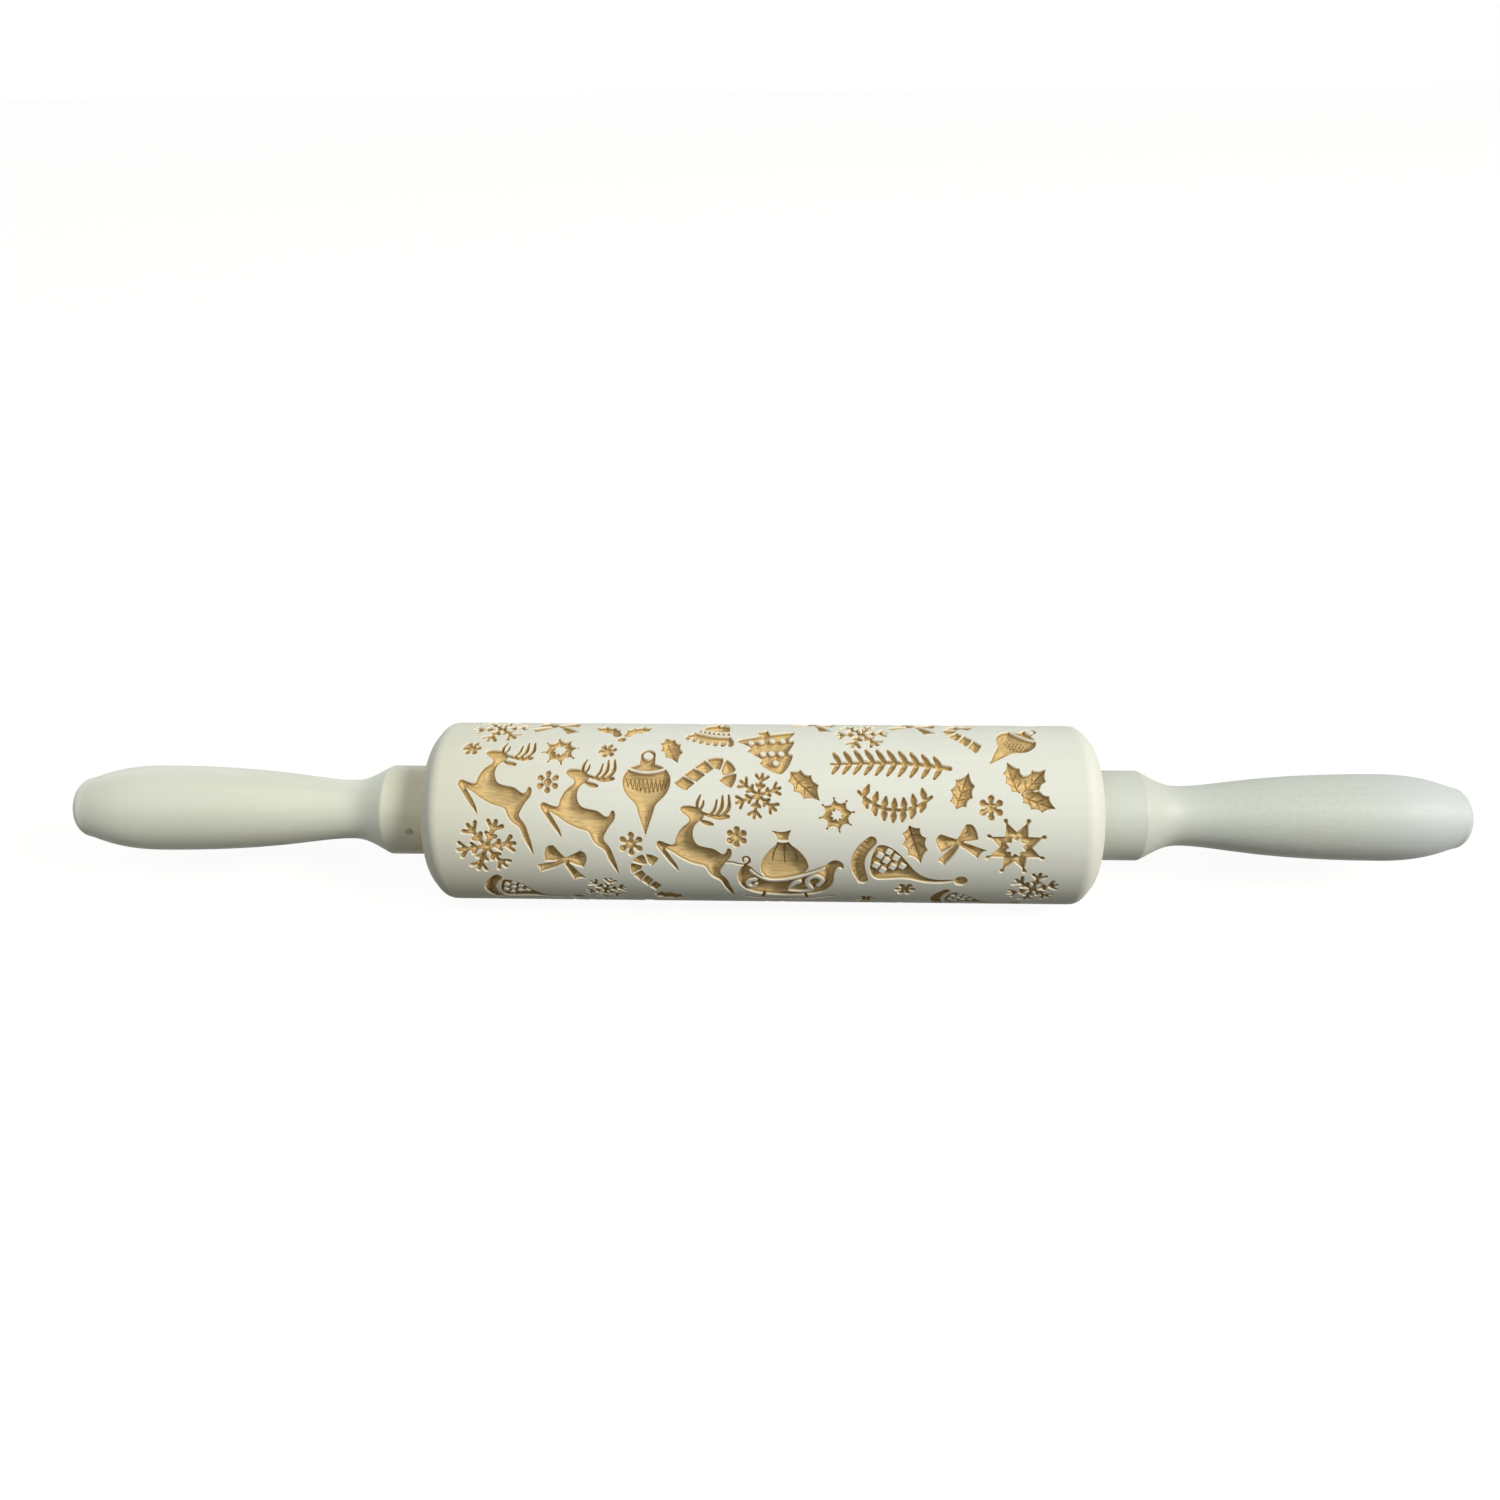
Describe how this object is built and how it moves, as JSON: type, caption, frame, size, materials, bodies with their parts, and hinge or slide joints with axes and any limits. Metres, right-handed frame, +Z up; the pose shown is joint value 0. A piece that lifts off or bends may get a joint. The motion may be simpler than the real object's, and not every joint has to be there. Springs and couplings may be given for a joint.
{
  "type": "embossed rolling pin",
  "caption": "Wooden rolling pin whose barrel, engraved with winter ornaments, spins on a steel axle between turned handles and presses its pattern into rolled dough.",
  "frame": {"origin": "middle of the barrel's underside, on the surface that the pin lies on", "axes": "+X along the axle to the right-hand handle, +Z up, +Y away from the viewer"},
  "size_m": [0.35, 0.0448, 0.0448],
  "materials": {
    "barrel_wood": "pale bleached hardwood, sanded, with scorched tan engraving",
    "handle_wood": "pale bleached hardwood, turned and sanded",
    "steel": "bright drawn rod",
    "nylon": "natural white, satin"
  },
  "bodies": {
    "handles": {"axle": "steel", "handle_left": "handle_wood", "handle_right": "handle_wood", "brad_left": "steel", "brad_right": "steel", "thrust_washer_left": "nylon", "thrust_washer_right": "nylon"},
    "barrel": {"barrel": "barrel_wood", "bush_left": "nylon", "bush_right": "nylon"}
  },
  "joints": [
    {"name": "barrel_spin", "type": "hinge", "parent": "handles", "child": "barrel", "pos_m": [0, 0, 0.02241], "axis": [1, 0, 0], "continuous": true}
  ]
}
